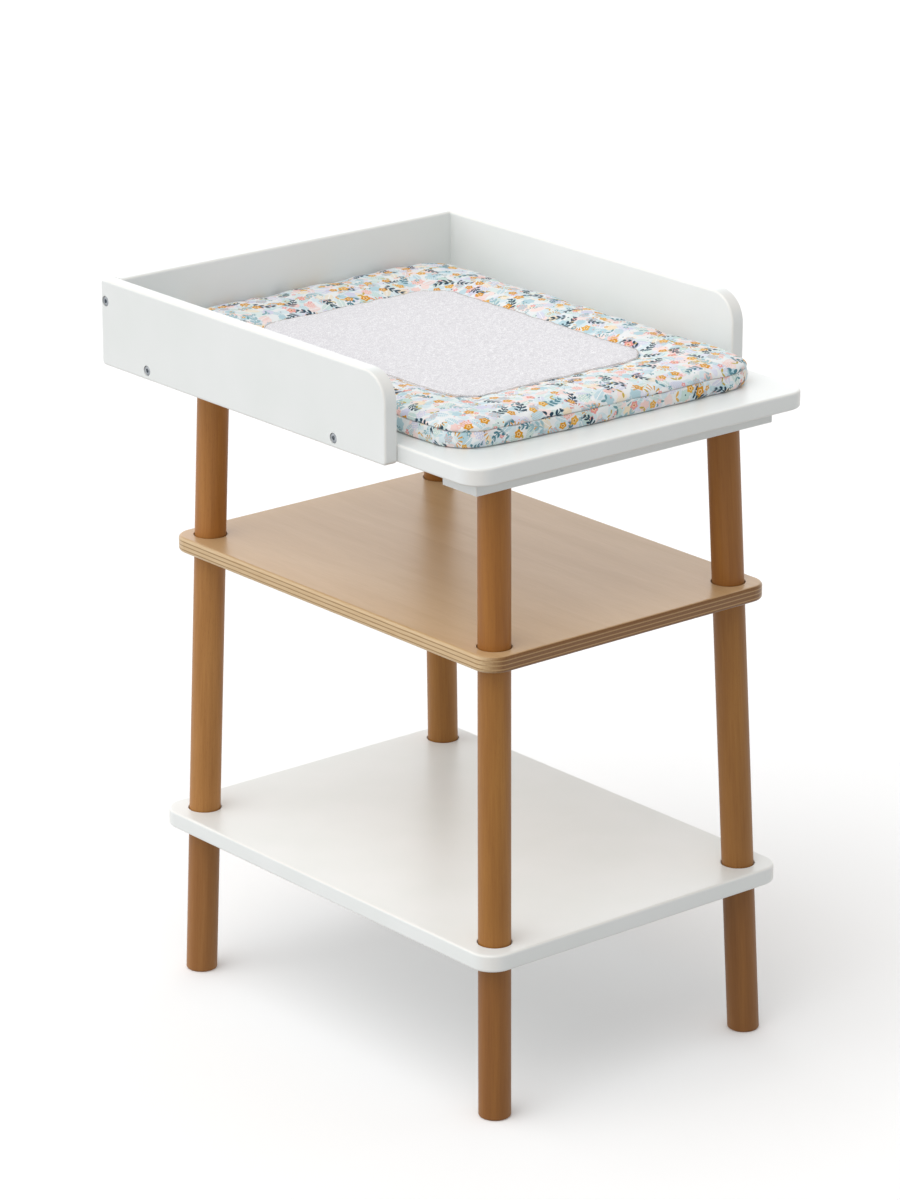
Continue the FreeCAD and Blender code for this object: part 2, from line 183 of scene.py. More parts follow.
paper, tree, shader = start_finish("white_studio_paper")
fill(tree, shader, {"Base Color": "#FFFFFF", "Roughness": 0.9, "Specular IOR Level": 0.1})
disc = bmesh.new()
bmesh.ops.create_circle(disc, cap_ends=True, segments=96, radius=FLOOR_RADIUS)
floor = make_piece(disc, "studio_floor", paper)
floor.visible_diffuse = False
print("floor", FLOOR_RADIUS, "m in radius")

# %% Key light and studio walls
KEY_STRENGTH = 1.29
KEY_SPREAD = math.radians(60)
KEY_FROM = Vector((-0.19, -0.02, 0.34))
CEILING = 0.50
FRONT_WALL = 0.66
BACK_WALL = 1.75
STUDIO_FLOOR = 0.47
TOWARDS_BACK = Vector((-0.05, 1.0, 0))
WALL_FADE = (-0.6, 0.7)
CEILING_FADE = (0.35, 0.80)

key = bpy.data.objects.new("key_light", bpy.data.lights.new("key_light", "SUN"))
key.data.energy = KEY_STRENGTH
key.data.angle = KEY_SPREAD
key.rotation_mode = "QUATERNION"
key.rotation_quaternion = (-KEY_FROM).to_track_quat("-Z", "Y")
scene.collection.objects.link(key)

scene.world = bpy.data.worlds.new("studio_walls")
scene.world.use_nodes = True
walls = scene.world.node_tree
outwards = add(walls, "TexCoord").outputs["Generated"]
rise = add(walls, "SeparateXYZ", {}, {"Vector": outwards}).outputs["Z"]
behind = add(walls, "VectorMath", "DOT_PRODUCT", {0: outwards, 1: TOWARDS_BACK})
backness = add(walls, "MapRange", {}, {"Value": behind, "From": WALL_FADE,
                                       "To": (FRONT_WALL, BACK_WALL)})
height = add(walls, "MapRange", {}, {"Value": rise, "From": CEILING_FADE})
upper = add(walls, "Mix", {"data_type": "FLOAT"}, {"Factor": height, "A": backness, "B": CEILING})
down = add(walls, "MapRange", {}, {"Value": rise, "From": (0.0, -0.05)})
strength = add(walls, "Mix", {"data_type": "FLOAT"},
               {"Factor": down, "A": upper, "B": STUDIO_FLOOR})
fill(walls, walls.nodes["Background"], {"Color": "#FFFFFF", "Strength": strength})
scene.view_settings.view_transform = "Standard"
print("key light", KEY_STRENGTH, "walls", FRONT_WALL, "to", BACK_WALL, "ceiling", CEILING)

# %% [markdown]
# ## Satin white lacquer on MDF
#
# The top, its gallery, the battens and the lower shelf are MDF, sprayed with a white satin
# lacquer over a sanded primer. The spray levels to a film that is smooth but not flat: it has
# a faint orange-peel ripple a few millimetres across, which breaks up reflections without
# showing as relief. The film is a little warmer and glossier where it pulls thin over a
# rounded edge. Every board lies square to the frame, so the rounded edges are found as the
# places where the surface faces none of the three axes.

# %% White lacquer
lacquer, tree, shader = start_finish("satin_lacquer_on_mdf")
spot = add(tree, "TexCoord").outputs["Object"]
facing = add(tree, "VectorMath", "ABSOLUTE", {0: add(tree, "NewGeometry").outputs["Normal"]})
sides = add(tree, "SeparateXYZ", {}, {"Vector": facing})
upright = add(tree, "Math", "MAXIMUM", {0: sides.outputs["X"], 1: sides.outputs["Y"]})
square = add(tree, "Math", "MAXIMUM", {0: upright, 1: sides.outputs["Z"]})
rounded = add(tree, "MapRange", {}, {"Value": square, "From": (0.995, 0.85)})
clouds = add(tree, "TexNoise", {}, {"Vector": spot, "Scale": 1 / (110 * MM), "Detail": 3.0})
film = add(tree, "ValToRGB", {}, {0: clouds}, [(0.3, "#EAEDEB"), (0.7, "#EEF0EF")])
pulled = add(tree, "Mix", BLEND, {"Factor": rounded, "A": film, "B": "#F0EFEB"})
mist = add(tree, "TexNoise", {}, {"Vector": spot, "Scale": 1 / (9 * MM), "Detail": 4.0})
satin = add(tree, "MapRange", {}, {"Value": mist, "To": (0.31, 0.38)})
gloss = add(tree, "Math", "MULTIPLY_ADD", {0: rounded, 1: -0.03, 2: satin})
peel = add(tree, "TexNoise", {}, {"Vector": spot, "Scale": 1 / (3.0 * MM), "Detail": 1.0})
ripple = add(tree, "Bump", {}, {"Height": peel, "Strength": 0.15, "Distance": 0.03 * MM})
fill(tree, shader, {"Base Color": pulled, "Roughness": gloss, "Normal": ripple, "IOR": 1.50})
print("finish:", lacquer.name, "nodes", len(tree.nodes))

# %% [markdown]
# ## Beech plywood with a clear satin varnish
#
# The middle shelf is beech plywood. Its faces are peeled veneer with the grain along the
# shelf, and its edges are left open, so the layers show: thick ones with the grain along the
# shelf, and thin ones across it. A layer looks pale and streaked where its grain runs along
# the edge, and darker and dotted where the edge cuts it across. So one network does all of
# it: the height says which layer a point is in, and the way the surface faces says how that
# layer is cut. The edges that face front and back also get a darker, warmer tint, which is
# painted shade. On the rounded edges the layers spread out, as on real plywood.

# %% Plywood layers
LONG_PLY = 4.1 * MM
CROSS_PLY = 1.2 * MM
PLY_BLUR = 0.45 * MM
PLY_WANDER = 0.5 * MM
PLY_PAIR = LONG_PLY + CROSS_PLY
shelf_low, shelf_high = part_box("shelf_middle")

plywood, tree, shader = start_finish("varnished_beech_plywood")
spot = add(tree, "TexCoord").outputs["Object"]
parts = add(tree, "SeparateXYZ", {}, {"Vector": spot})
depth = add(tree, "Math", "SUBTRACT", {0: parts.outputs["Z"], 1: shelf_low.z})
wander = add(tree, "TexNoise", {}, {"Vector": spot, "Scale": 1 / (35 * MM), "Detail": 2.0})
wavy = add(tree, "Math", "MULTIPLY_ADD", {0: wander, 1: PLY_WANDER, 2: depth})
level = add(tree, "Math", "SUBTRACT", {0: wavy, 1: LONG_PLY + (CROSS_PLY + PLY_WANDER) / 2})
ply = add(tree, "Math", "WRAP", {0: level, 1: PLY_PAIR / 2, 2: -PLY_PAIR / 2})
from_middle = add(tree, "Math", "ABSOLUTE", {0: ply})
crossed = add(tree, "MapRange", {}, {"Value": from_middle,
                                     "From": (CROSS_PLY / 2 + PLY_BLUR, CROSS_PLY / 2 - PLY_BLUR)})
facing = add(tree, "VectorMath", "ABSOLUTE", {0: add(tree, "NewGeometry").outputs["Normal"]})
sides = add(tree, "SeparateXYZ", {}, {"Vector": facing})
flat = add(tree, "MapRange", {}, {"Value": sides.outputs["Z"], "From": (0.80, 0.95)})
lean = add(tree, "Math", "SUBTRACT", {0: sides.outputs["Y"], 1: sides.outputs["X"]})
endwise = add(tree, "MapRange", {}, {"Value": lean, "From": (-0.7, 0.7)})
apart = add(tree, "Math", "SUBTRACT", {0: endwise, 1: crossed})
cut_across = add(tree, "Math", "ABSOLUTE", {0: apart})
print("shelf", round((shelf_high.z - shelf_low.z) / MM, 1), "mm thick")

# %% Plywood grain and varnish
streaks = add(tree, "TexNoise", {}, {
    "Vector": add(tree, "Mapping", {}, {"Vector": spot, "Scale": (1, 1 / 26, 1)}),
    "Scale": 1 / (1.3 * MM), "Detail": 5.0, "Roughness": 0.6})
figure = add(tree, "TexNoise", {}, {
    "Vector": add(tree, "Mapping", {}, {"Vector": spot, "Scale": (1, 1 / 9, 1)}),
    "Scale": 1 / (34 * MM), "Detail": 3.0, "Distortion": 0.6})
flecks = add(tree, "TexVoronoi", {}, {
    "Vector": add(tree, "Mapping", {}, {"Vector": spot, "Scale": (1, 1 / 5, 1)}),
    "Scale": 1 / (1.5 * MM)})
fleck = add(tree, "MapRange", {}, {"Value": flecks, "From": (0.28, 0.10), "To Max": 0.07})
veneer = add(tree, "ValToRGB", {}, {0: figure}, [(0.30, "#CBA678"), (0.72, "#D5B389")])
combed = add(tree, "ValToRGB", {}, {0: streaks}, [(0.30, "#EAE3DA"), (0.62, "#FFFFFF")])
face = add(tree, "Mix", TINT, {"Factor": 0.4, "A": veneer, "B": combed})
flecked = add(tree, "Mix", BLEND, {"Factor": fleck, "A": face, "B": "#B58A5C"})
long_grain = add(tree, "ValToRGB", {}, {0: streaks}, [(0.30, "#CBAA7C"), (0.66, "#D8BD94")])
end_grain = add(tree, "ValToRGB", {}, {0: streaks}, [(0.32, "#8A6334"), (0.68, "#A07848")])
cut = add(tree, "Mix", BLEND, {"Factor": cut_across, "A": long_grain, "B": end_grain})
# Painted shade: edges that face front and back are tinted darker and warmer than edges facing the
# sides.
edge = add(tree, "Mix", TINT, {"Factor": endwise, "A": cut, "B": "#D9C7A9"})
seen = add(tree, "Mix", BLEND, {"Factor": flat, "A": edge, "B": flecked})
varnish = add(tree, "MapRange", {}, {"Value": streaks, "To": (0.29, 0.37)})
relief = add(tree, "Bump", {}, {"Height": streaks, "Strength": 0.3, "Distance": 0.05 * MM})
fill(tree, shader, {"Base Color": seen, "Roughness": varnish, "Normal": relief, "IOR": 1.50})
print("finish:", plywood.name, "nodes", len(tree.nodes))

# %% [markdown]
# ## Stained and oiled beech, turned round
#
# The legs are turned from solid beech and stained a warm brown. Beech shows fine straight
# streaks along the grain, and short dark flecks where the wood's rays are cut. The stain
# takes unevenly, so one side of a leg is a shade darker, and no two legs are quite the same.
# Each corner's stain is also painted lighter or darker for the light at that corner: the
# rear left legs lighter, the front right legs darker. Each leg is in three pieces, cut from
# different boards, so the shade also changes where a shelf hides the joint; the foot piece
# is tinted darkest, partly as painted shade near the floor. The legs lean, so the streaks
# have to lean with them: a Mapping node per corner turns the pattern onto that corner's leg
# axis, from the foot up to the head. The axis comes from the boxes of the leg pieces in the
# frame.

# %% The line of each leg
CORNERS = ("front_left", "front_right", "rear_left", "rear_right")
LEG_RADIUS = 20 * MM


def leg_line(corner):
    """The lowest point of a corner's leg axis, and the axis direction."""
    foot_low, foot_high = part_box("leg_foot_" + corner)
    upper_low, upper_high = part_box("leg_upper_" + corner)
    outward = Vector((math.copysign(1, foot_low.x), math.copysign(1, foot_low.y), 0))
    foot = Vector((max(foot_high.x, -foot_low.x) * outward.x,
                   max(foot_high.y, -foot_low.y) * outward.y, 0)) - outward * LEG_RADIUS
    head = Vector((min(abs(upper_low.x), abs(upper_high.x)) * outward.x,
                   min(abs(upper_low.y), abs(upper_high.y)) * outward.y, 0))
    head += outward * LEG_RADIUS
    head.z = upper_high.z
    return foot, (head - foot).normalized()


for corner in CORNERS:
    print(corner, "leg axis", [round(c, 3) for c in leg_line(corner)[1]])

# %% Stained beech, one finish for each corner
# Each corner's pair is partly real variation of the stain and partly painted light: the rear left
# pair is lighter, the front right pair darker.
STAINS_WITH_CORNER_LIGHT = {"front_left": ("#A36727", "#B87B35"), "front_right": ("#9A6329", "#AE7535"),
          "rear_left": ("#B37637", "#CA8C4B"), "rear_right": ("#A0672A", "#B37A37")}


def stained_beech(corner):
    """The finish of the three pieces of one leg."""
    foot, axis = leg_line(corner)
    made, tree, shader = start_finish("stained_beech_" + corner)
    turn = Vector((0, 0, 1)).rotation_difference(axis).to_euler()
    spot = add(tree, "TexCoord").outputs["Object"]
    along = add(tree, "Mapping", {"vector_type": "TEXTURE"},
                {"Vector": spot, "Location": foot, "Rotation": turn})
    streaks = add(tree, "TexNoise", {}, {
        "Vector": add(tree, "Mapping", {}, {"Vector": along, "Scale": (1, 1, 1 / 30)}),
        "Scale": 1 / (1.8 * MM), "Detail": 5.0, "Roughness": 0.62})
    rings = add(tree, "TexNoise", {}, {
        "Vector": add(tree, "Mapping", {}, {"Vector": along, "Scale": (1, 1, 1 / 14)}),
        "Scale": 1 / (16 * MM), "Detail": 2.0, "Distortion": 0.4})
    flecks = add(tree, "TexVoronoi", {}, {
        "Vector": add(tree, "Mapping", {}, {"Vector": along, "Scale": (1, 1, 1 / 6)}),
        "Scale": 1 / (1.7 * MM)})
    fleck = add(tree, "MapRange", {}, {"Value": flecks, "From": (0.30, 0.12), "To Max": 0.20})
    darker, lighter = STAINS_WITH_CORNER_LIGHT[corner]
    stain = add(tree, "ValToRGB", {}, {0: rings}, [(0.25, darker), (0.75, lighter)])
    combed = add(tree, "ValToRGB", {}, {0: streaks}, [(0.28, "#DCCDBB"), (0.64, "#FFFFFF")])
    streaked = add(tree, "Mix", TINT, {"Factor": 0.45, "A": stain, "B": combed})
    joints = [sum(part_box(shelf), Vector()).z / 2 for shelf in ("shelf_lower", "shelf_middle")]
    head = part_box("leg_upper_" + corner)[1].z
    climb = add(tree, "Math", "DIVIDE",
                {0: add(tree, "SeparateXYZ", {}, {"Vector": spot}).outputs["Z"], 1: head})
    # Each piece's own tone, plus painted shade: the foot piece, below the lower shelf, is tinted
    # darkest.
    board_tone_and_foot_shade = add(tree, "ValToRGB", {}, {0: climb},
                [(0.0, "#D2D1CC"), (joints[0] / head, "#E9F0F2"), (joints[1] / head, "#EAE8D9")])
    board_tone_and_foot_shade.color_ramp.interpolation = "CONSTANT"
    wood = add(tree, "Mix", TINT, {"Factor": 1.0, "A": streaked, "B": board_tone_and_foot_shade})
    rays = add(tree, "Mix", BLEND, {"Factor": fleck, "A": wood, "B": "#7A4F2A"})
    oil = add(tree, "MapRange", {}, {"Value": streaks, "To": (0.52, 0.40)})
    relief = add(tree, "Bump", {}, {"Height": streaks, "Strength": 0.4, "Distance": 0.08 * MM})
    fill(tree, shader, {"Base Color": rays, "Roughness": oil, "Normal": relief, "IOR": 1.44})
    return made


leg_finishes = {corner: stained_beech(corner) for corner in CORNERS}
print("finishes:", [finish.name for finish in leg_finishes.values()])

# %% [markdown]
# ## Bright zinc plating, and plain beech dowels
#
# The bolts, barrel nuts, inserts, studs and screws are steel with a bright zinc plating. The
# plating is a grey, slightly blue metal, clouded where it has been handled, with fine turning
# marks that spread its highlights. The dowels that locate the rear panel are plain beech,
# pressed with flutes and left raw, so they are pale, dry and matt.

# %% Zinc and raw beech
zinc, tree, shader = start_finish("bright_zinc_plated_steel")
spot = add(tree, "TexCoord").outputs["Object"]
clouds = add(tree, "TexNoise", {}, {"Vector": spot, "Scale": 1 / (4 * MM), "Detail": 4.0})
plating = add(tree, "ValToRGB", {}, {0: clouds}, [(0.3, "#858A90"), (0.7, "#B4B8BC")])
marks = add(tree, "TexNoise", {}, {"Vector": spot, "Scale": 1 / (0.5 * MM), "Detail": 2.0})
polish = add(tree, "MapRange", {}, {"Value": clouds, "To": (0.16, 0.26)})
relief = add(tree, "Bump", {}, {"Height": marks, "Strength": 0.3, "Distance": 0.02 * MM})
fill(tree, shader, {"Base Color": plating, "Metallic": 1.0, "Roughness": polish, "Normal": relief})

raw_beech, tree, shader = start_finish("raw_fluted_beech")
spot = add(tree, "TexCoord").outputs["Object"]
streaks = add(tree, "TexNoise", {}, {
    "Vector": add(tree, "Mapping", {}, {"Vector": spot, "Scale": (1, 1, 1 / 20)}),
    "Scale": 1 / (0.8 * MM), "Detail": 4.0})
pale = add(tree, "ValToRGB", {}, {0: streaks}, [(0.3, "#C9A377"), (0.7, "#E0C39A")])
relief = add(tree, "Bump", {}, {"Height": streaks, "Strength": 0.5, "Distance": 0.1 * MM})
fill(tree, shader, {"Base Color": pale, "Roughness": 0.75, "Normal": relief, "IOR": 1.48})
print("finishes:", zinc.name, "and", raw_beech.name)

# %% [markdown]
# ## Dress the CAD parts
#
# A CAD part keeps its own mesh, so it takes its finish by having the material in its slot
# changed. The part's name says what it is made of.

# %% Give each CAD part its finish
FITTINGS = ("threaded", "shelf_studs", "leg_head", "panel_bolts", "barrel", "batten_screws")


def finish_of(name):
    """The material of a CAD part."""
    if name.startswith("leg_") and name.endswith(CORNERS):
        return leg_finishes[next(corner for corner in CORNERS if name.endswith(corner))]
    if name.startswith(FITTINGS):
        return zinc
    if name == "rear_panel_dowels":
        return raw_beech
    return plywood if name == "shelf_middle" else lacquer


for name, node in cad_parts.items():
    if not name.startswith("mat_"):
        node.data.materials[0] = finish_of(name)
        print(f"{name:28} {finish_of(name).name}")

# %% [markdown]
# ## The mat's printed cotton
#
# The mat's cover is a plain-woven cotton, printed all over with small flowers, leaves and
# sprigs in mustard, coral, petrol blue and pale washes on white. The print is drawn by nodes on
# the cloth's own UV map, in millimetres, so it follows the cloth over the edges of the mat.
#
# Each kind of motif has its own layer. A Voronoi texture scatters the layer's centres; the
# distance from the nearest centre, turned by a chance angle, gives a small drawing space in
# which a flower or leaf is a simple formula. Each cell's random colour decides whether
# the motif is there, and its ink. A little noise on the coordinates makes the edges look
# drawn by brush. The layers are printed one over another, palest first.

# %% Cloth coordinates and the scatter of one layer
cotton, tree, shader = start_finish("printed_cotton_plain_weave")
cloth = add(tree, "VectorMath", "SCALE",
            {0: add(tree, "UVMap", {"uv_map": "cloth"}), "Scale": 1 / MM})
brush = add(tree, "TexNoise", {}, {"Vector": cloth, "Scale": 1 / 3.0, "Detail": 1.0})
wobble = add(tree, "VectorMath", "MULTIPLY_ADD",
             {0: brush.outputs["Color"], 1: (0.9, 0.9, 0), 2: cloth})


def scatter(tree, cell, shift):
    """One layer of motifs: the place round its nearest centre in mm, and three chances."""
    moved = add(tree, "VectorMath", "ADD", {0: wobble, 1: (shift, 2 * shift, 0)})
    cells = add(tree, "TexVoronoi", {"voronoi_dimensions": "2D"},
                {"Vector": moved, "Scale": 1 / cell, "Randomness": 0.72})
    away = add(tree, "VectorMath", "SUBTRACT", {0: moved, 1: cells.outputs["Position"]})
    chances = add(tree, "SeparateColor", {}, {"Color": cells.outputs["Color"]})
    angle = add(tree, "Math", "MULTIPLY", {0: chances.outputs["Red"], 1: 12 * math.pi})
    turned = add(tree, "VectorRotate", {"rotation_type": "Z_AXIS"},
                 {"Vector": away, "Angle": angle})
    smaller = add(tree, "MapRange", {}, {"Value": chances.outputs["Red"], "To": (0.88, 1.30)})
    place = add(tree, "VectorMath", "SCALE", {0: turned, "Scale": smaller})
    return place, chances


print("print drawn in mm on the cloth, brush noise 3 mm across")

# %% Flower, leaf and ink
def blossom(tree, place, petals, notch):
    """How far out a point is on a flower, in mm: its radius over the wave of the petals."""
    parts = add(tree, "SeparateXYZ", {}, {"Vector": place})
    angle = add(tree, "Math", "ARCTAN2", {0: parts.outputs["Y"], 1: parts.outputs["X"]})
    waves = add(tree, "Math", "MULTIPLY", {0: angle, 1: float(petals)})
    lobes = add(tree, "Math", "COSINE", {0: waves})
    edge = add(tree, "Math", "MULTIPLY_ADD", {0: lobes, 1: notch, 2: 1 - notch})
    radius = add(tree, "VectorMath", "LENGTH", {0: place})
    return add(tree, "Math", "DIVIDE", {0: radius, 1: edge})


def leaf(tree, place, middle, tilt, size):
    """How far out a point is on an oval leaf, which has its edge at 1."""
    laid = add(tree, "Mapping", {"vector_type": "TEXTURE"},
               {"Vector": place, "Location": (*middle, 0), "Rotation": (0, 0, tilt),
                "Scale": (*size, 1)})
    return add(tree, "VectorMath", "LENGTH", {0: laid})


def ink(tree, ground, chances, share, reach, edge, inks):
    """Prints a shape on the ground in a share of the cells, each in an ink drawn by chance."""
    shape = add(tree, "MapRange", {}, {"Value": reach, "From": edge})
    kept = add(tree, "Math", "LESS_THAN", {0: chances.outputs["Green"], 1: share})
    printed = add(tree, "Math", "MULTIPLY", {0: shape, 1: kept})
    paint = inks
    if not isinstance(inks, str):
        paint = add(tree, "ValToRGB", {}, {0: chances.outputs["Blue"]}, inks)
        paint.color_ramp.interpolation = "CONSTANT"
    return add(tree, "Mix", BLEND, {"Factor": printed, "A": ground, "B": paint})


print("cloth coordinates take", len(tree.nodes), "nodes")

# %% [markdown]
# ### The pale washes under the print
#
# First come wide, watery shapes that give the white cloth its soft, crowded look: leaves and
# round flower heads in pale blue, sage, blush and lilac, some of them hatched.

# %% Wide pale leaves
WHOLE = (0.0, 1.0)
WASH_INKS = [(0.0, "#DCEBF0"), (0.45, "#E1EEEB"), (0.65, "#FBE5E0"), (0.85, "#E5E6F3")]
PALE_INKS = [(0.0, "#BBD9E2"), (0.38, "#F7D6D0"), (0.54, "#CBE2DB"), (0.74, "#D8D8EC"),
             (0.92, "#F8E7CB")]
place, chances = scatter(tree, 15.0, 331.0)
reach = leaf(tree, place, (0, 0), 0.0, (9.5, 5.5))
ground = ink(tree, "#F1F3F3", chances, 0.85, reach, (1.05, 0.95), WASH_INKS)

place, chances = scatter(tree, 20.0, 3.0)
reach = leaf(tree, place, (0, 0), 0.0, (11.0, 5.0))
inside = add(tree, "MapRange", {}, {"Value": reach, "From": (1.06, 0.94)})
wave = add(tree, "Math", "SINE",
           {0: add(tree, "VectorMath", "DOT_PRODUCT", {0: place, 1: (2.3, 1.3, 0)})})
hatch = add(tree, "MapRange", {}, {"Value": wave, "From": (-0.2, 0.4), "To Min": 0.45})
hatched = add(tree, "Math", "MULTIPLY", {0: inside, 1: hatch})
ground = ink(tree, ground, chances, 1.0, hatched, WHOLE, PALE_INKS)
rib = add(tree, "Math", "COMPARE",
          {0: add(tree, "SeparateXYZ", {}, {"Vector": place}).outputs["Y"], 1: 0.0, 2: 0.45})
ribbed = add(tree, "Math", "MULTIPLY", {0: rib, 1: inside})
ground = ink(tree, ground, chances, 0.7, ribbed, WHOLE, "#FAFBFA")
print("wide leaves printed,", len(tree.nodes), "nodes so far")

# %% Pale flower heads with dots
HEAD_RIM = (8.3, 7.7)
place, chances = scatter(tree, 22.0, 41.0)
reach = blossom(tree, place, 7, 0.10)
ground = ink(tree, ground, chances, 0.75, reach, HEAD_RIM, PALE_INKS)
inside = add(tree, "MapRange", {}, {"Value": reach, "From": HEAD_RIM})
stamens = add(tree, "TexVoronoi", {"voronoi_dimensions": "2D"},
              {"Vector": place, "Scale": 1 / 2.8, "Randomness": 0.4})
dots = add(tree, "MapRange", {}, {"Value": stamens, "From": (0.34, 0.26)})
dotted = add(tree, "Math", "MULTIPLY", {0: dots, 1: inside})
ground = ink(tree, ground, chances, 0.40, dotted, WHOLE, [(0.0, "#E9A79C"), (0.5, "#F7F4F0")])
print("flower heads printed,", len(tree.nodes), "nodes so far")

# %% [markdown]
# ### Dashes, leaf pairs and small flowers
#
# Next come the small, clear marks that fill the gaps: fans of mustard dashes like the head of
# an umbel, pairs of olive leaves, coral flowers a few millimetres across, and loose dots.

# %% Fans of dashes
place, chances = scatter(tree, 44.0, 77.0)
parts = add(tree, "SeparateXYZ", {}, {"Vector": place})
angle = add(tree, "Math", "ARCTAN2", {0: parts.outputs["Y"], 1: parts.outputs["X"]})
spokes = add(tree, "Math", "COSINE", {0: add(tree, "Math", "MULTIPLY", {0: angle, 1: 11.0})})
radius = add(tree, "VectorMath", "LENGTH", {0: place})
spoke = add(tree, "MapRange", {}, {"Value": spokes, "From": (0.15, 0.55)})
ring = add(tree, "Math", "COMPARE", {0: radius, 1: 7.6, 2: 3.2})
half = add(tree, "Math", "GREATER_THAN", {0: parts.outputs["Y"], 1: -1.0})
fan = add(tree, "Math", "MULTIPLY",
          {0: add(tree, "Math", "MULTIPLY", {0: spoke, 1: ring}), 1: half})
ground = ink(tree, ground, chances, 0.75, fan, WHOLE,
             [(0.0, "#DDA23C"), (0.55, "#E79A90"), (0.8, "#7FA9B2")])
print("fans printed,", len(tree.nodes), "nodes so far")

# %% Pairs of olive leaves
place, chances = scatter(tree, 30.0, 113.0)
parts = add(tree, "SeparateXYZ", {}, {"Vector": place})
fold = add(tree, "Math", "ABSOLUTE", {0: parts.outputs["X"]})
folded = add(tree, "CombineXYZ", {}, {"X": fold, "Y": parts.outputs["Y"]})
reach = leaf(tree, folded, (3.7, 1.6), 0.55, (4.0, 1.5))
ground = ink(tree, ground, chances, 0.6, reach, (1.1, 0.9),
             [(0.0, "#C6AE48"), (0.5, "#6E9EA6"), (0.75, "#E7B65C")])
print("leaf pairs printed,", len(tree.nodes), "nodes so far")

# %% Small coral flowers and loose dots
place, chances = scatter(tree, 19.0, 151.0)
reach = blossom(tree, place, 5, 0.20)
ground = ink(tree, ground, chances, 0.45, reach, (3.9, 3.4),
             [(0.0, "#F29B9A"), (0.30, "#F6C9C0"), (0.50, "#E8A93F"), (0.66, "#86B3BF")])
ground = ink(tree, ground, chances, 0.45, reach, (1.4, 1.0), "#FBF3E4")

place, chances = scatter(tree, 9.0, 197.0)
radius = add(tree, "VectorMath", "LENGTH", {0: place})
ground = ink(tree, ground, chances, 0.30, radius, (1.25, 0.85),
             [(0.0, "#2C5767"), (0.3, "#E1A441"), (0.6, "#EE9C94"), (0.8, "#8CB4BC")])
print("small motifs printed,", len(tree.nodes), "nodes so far")

# %% [markdown]
# ### Petrol-blue sprigs and mustard flowers
#
# The strongest inks go on last. A sprig is one leaf, folded to both sides of a stem and
# repeated up it, on a space that narrows towards the tip. The mustard flowers have five round
# petals, a pale ring and a dark heart.

# %% Sprigs
place, chances = scatter(tree, 36.0, 239.0)
parts = add(tree, "SeparateXYZ", {}, {"Vector": place})
narrow = add(tree, "Math", "MULTIPLY_ADD", {0: parts.outputs["Y"], 1: 0.035, 2: 1.15})
bend = add(tree, "Math", "MULTIPLY", {0: parts.outputs["Y"], 1: parts.outputs["Y"]})
bent = add(tree, "Math", "MULTIPLY_ADD", {0: bend, 1: 0.028, 2: parts.outputs["X"]})
side = add(tree, "Math", "MULTIPLY", {0: add(tree, "Math", "ABSOLUTE", {0: bent}), 1: narrow})
rung = add(tree, "Math", "WRAP", {0: parts.outputs["Y"], 1: 7.4, 2: 0.0})
folded = add(tree, "CombineXYZ", {}, {"X": side, "Y": rung})
leaves = leaf(tree, folded, (3.4, 4.0), 0.85, (4.0, 1.75))
tip = add(tree, "Math", "DIVIDE",
          {0: add(tree, "Math", "ABSOLUTE", {0: parts.outputs["Y"]}), 1: 12.6})
foliage = add(tree, "Math", "MAXIMUM", {0: leaves, 1: tip})
stalk = add(tree, "Math", "DIVIDE", {0: side, 1: 0.7})
stem = add(tree, "Math", "MAXIMUM", {0: stalk, 1: tip})
sprig = add(tree, "Math", "MINIMUM", {0: foliage, 1: stem})
ground = ink(tree, ground, chances, 0.78, sprig, (1.12, 0.88),
             [(0.0, "#123C50"), (0.68, "#4F8492"), (0.84, "#9FC3CB")])
print("sprigs printed,", len(tree.nodes), "nodes so far")

# %% Mustard flowers
place, chances = scatter(tree, 29.0, 283.0)
reach = blossom(tree, place, 5, 0.13)
ground = ink(tree, ground, chances, 0.62, reach, (7.0, 6.4),
             [(0.0, "#E09A16"), (0.60, "#EBAF3E"), (0.86, "#EF9E98")])
ring = add(tree, "Math", "COMPARE", {0: reach, 1: 2.6, 2: 0.5})
ground = ink(tree, ground, chances, 0.62, ring, WHOLE, "#FAE6BE")
ground = ink(tree, ground, chances, 0.62, reach, (1.5, 1.1), "#B9781F")
print("print finished,", len(tree.nodes), "nodes so far")

# %% [markdown]
# ### The weave under the ink
#
# The yarns of such a cotton are about 0.35 mm apart, far too fine to show here, so they are
# drawn 1.2 mm apart: crossing ridges, with a little painted shade between them, that give the
# surface its dry, matt look. A thin sheen stands for the fibres that stand up from the cloth.

# %% Weave and shader
YARN = 1.2
ridges = add(tree, "VectorMath", "SINE",
             {0: add(tree, "VectorMath", "SCALE",
                     {0: cloth, "Scale": 2 * math.pi / YARN})})
yarns = add(tree, "SeparateXYZ", {}, {"Vector": ridges})
weave = add(tree, "Math", "MULTIPLY", {0: yarns.outputs["X"], 1: yarns.outputs["Y"]})
# Painted shade between the yarn ridges.
shade = add(tree, "ValToRGB", {}, {0: weave}, [(0.0, "#F3F3F3"), (0.6, "#FFFFFF")])
woven = add(tree, "Mix", TINT, {"Factor": 1.0, "A": ground, "B": shade})
pulls = add(tree, "TexNoise", {}, {"Vector": cloth, "Scale": 1 / 22.0, "Detail": 2.0})
uneven = add(tree, "MapRange", {}, {"Value": pulls, "From": (0.35, 0.65), "To Min": 0.35})
